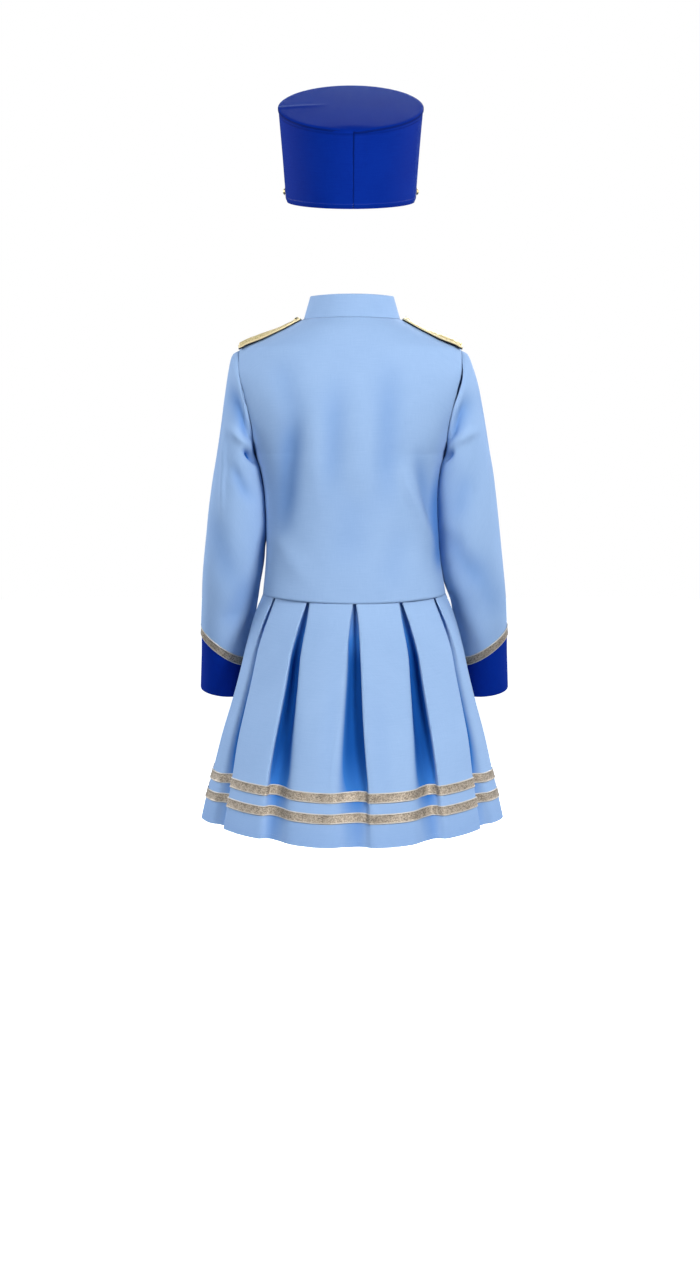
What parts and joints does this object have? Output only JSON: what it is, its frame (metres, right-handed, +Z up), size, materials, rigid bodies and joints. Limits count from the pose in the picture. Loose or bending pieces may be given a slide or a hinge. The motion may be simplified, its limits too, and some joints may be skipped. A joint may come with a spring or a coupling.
{
  "type": "child's majorette costume, dress and drum hat",
  "caption": "Child's majorette costume: long-sleeved dress with pleated skirt and gold braid, with a tall drum hat above it as worn.",
  "frame": {"origin": "centre of the neck opening, at the height of the collar seam", "axes": "+Z up the neck, +Y the way the wearer faces (the front closes there), +X to the wearer's right"},
  "size_m": [0.3904, 0.3132, 0.9318],
  "materials": {
    "sky_cloth": "matt plain weave",
    "royal_cloth": "matt plain weave",
    "gold_braid": "metallic braid",
    "yellow_braid": "metallic braid",
    "dark_felt": "matt felt",
    "gold_button": "polished"
  },
  "bodies": {
    "root": {"bodice_back": "sky_cloth", "bodice_front_right": "sky_cloth", "bodice_front_left": "sky_cloth", "collar": "sky_cloth", "sleeve_right": "sky_cloth", "sleeve_left": "sky_cloth", "skirt": "sky_cloth", "cuff_right": "royal_cloth", "cuff_left": "royal_cloth", "hat_side": "royal_cloth", "hat_top": "royal_cloth", "hat_peak": "royal_cloth", "cuff_braid_right": "gold_braid", "cuff_braid_left": "gold_braid", "skirt_braid_upper": "gold_braid", "skirt_braid_lower": "gold_braid", "hat_strap": "gold_braid", "epaulette_face_right": "yellow_braid", "epaulette_face_left": "yellow_braid", "epaulette_base_right": "dark_felt", "epaulette_base_left": "dark_felt", "front_button_1": "gold_button", "front_button_2": "gold_button", "front_button_3": "gold_button", "front_button_4": "gold_button", "front_button_5": "gold_button", "front_button_6": "gold_button", "hat_button_right": "gold_button", "hat_button_left": "gold_button", "epaulette_button_right": "gold_button", "epaulette_button_left": "gold_button"}
  },
  "joints": []
}
